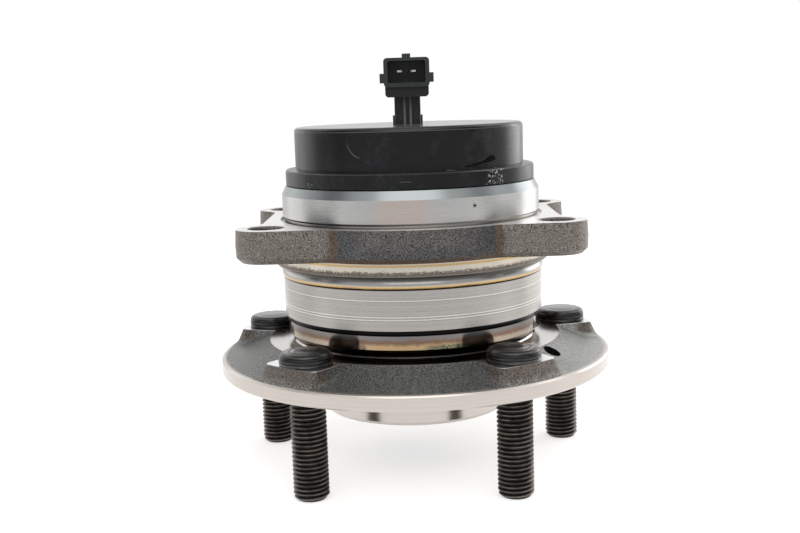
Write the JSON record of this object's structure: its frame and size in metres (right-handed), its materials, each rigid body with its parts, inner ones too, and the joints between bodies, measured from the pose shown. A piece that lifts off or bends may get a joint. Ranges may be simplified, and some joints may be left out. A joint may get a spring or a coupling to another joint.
{
  "type": "wheel hub bearing",
  "caption": "Flanged wheel hub bearing: a studded hub on two ball rows in an eared outer ring, with a closed cap and a wheel speed sensor socket.",
  "frame": {"origin": "on the bearing axis, in the hub flange's face that the wheel seats on, at the centre of the wheel stud circle", "axes": "+Z along the bearing axis, inboard, towards the cap and the sensor socket; the socket's mouth opens towards -Y; +X completes the right-handed frame"},
  "size_m": [0.139, 0.139, 0.1443],
  "materials": {
    "turned_steel": "turned and ground bearing steel, with forged flange walls",
    "forged_steel": "forged, with turned rim, pilot and pads",
    "race_steel": "ground",
    "ball_steel": "polished",
    "stud_black": "black phosphated steel",
    "plated_steel": "pressed sheet",
    "cap_plastic": "satin black moulding",
    "sensor_plastic": "black glass-filled moulding",
    "cage_plastic": "natural moulding",
    "seal_rubber": "moulded",
    "encoder_rubber": "magnetised rubber",
    "tinned_blade": "tinned brass"
  },
  "bodies": {
    "outer_ring_assembly": {"outer_ring": "turned_steel", "seal_case": "plated_steel", "seal_lip": "seal_rubber", "cap_shell": "cap_plastic", "cap_seal_ring": "seal_rubber", "sensor_housing": "sensor_plastic", "sensor_terminal_1": "tinned_blade", "sensor_terminal_2": "tinned_blade", "sensor_element": "sensor_plastic"},
    "hub_assembly": {"hub": "forged_steel", "inner_ring": "race_steel", "encoder_carrier": "plated_steel", "encoder_ring": "encoder_rubber", "wheel_stud_1": "stud_black", "wheel_stud_2": "stud_black", "wheel_stud_3": "stud_black", "wheel_stud_4": "stud_black", "wheel_stud_5": "stud_black"},
    "outboard_cage": {"outboard_cage": "cage_plastic", "outboard_ball_01": "ball_steel", "outboard_ball_02": "ball_steel", "outboard_ball_03": "ball_steel", "outboard_ball_04": "ball_steel", "outboard_ball_05": "ball_steel", "outboard_ball_06": "ball_steel", "outboard_ball_07": "ball_steel", "outboard_ball_08": "ball_steel", "outboard_ball_09": "ball_steel", "outboard_ball_10": "ball_steel", "outboard_ball_11": "ball_steel", "outboard_ball_12": "ball_steel", "outboard_ball_13": "ball_steel", "outboard_ball_14": "ball_steel"},
    "inboard_cage": {"inboard_cage": "cage_plastic", "inboard_ball_01": "ball_steel", "inboard_ball_02": "ball_steel", "inboard_ball_03": "ball_steel", "inboard_ball_04": "ball_steel", "inboard_ball_05": "ball_steel", "inboard_ball_06": "ball_steel", "inboard_ball_07": "ball_steel", "inboard_ball_08": "ball_steel", "inboard_ball_09": "ball_steel", "inboard_ball_10": "ball_steel", "inboard_ball_11": "ball_steel", "inboard_ball_12": "ball_steel", "inboard_ball_13": "ball_steel", "inboard_ball_14": "ball_steel"}
  },
  "joints": [
    {"name": "hub_spin", "type": "hinge", "parent": "outer_ring_assembly", "child": "hub_assembly", "pos_m": [0, 0, 0.04], "axis": [0, 0, 1], "continuous": true},
    {"name": "outboard_cage_spin", "type": "hinge", "parent": "outer_ring_assembly", "child": "outboard_cage", "pos_m": [0, 0, 0.027], "axis": [0, 0, 1], "continuous": true},
    {"name": "inboard_cage_spin", "type": "hinge", "parent": "outer_ring_assembly", "child": "inboard_cage", "pos_m": [0, 0, 0.053], "axis": [0, 0, 1], "continuous": true}
  ],
  "couplings": [
    {"joint": "outboard_cage_spin", "follows": "hub_spin", "ratio": 0.42418},
    {"joint": "inboard_cage_spin", "follows": "hub_spin", "ratio": 0.42418}
  ]
}
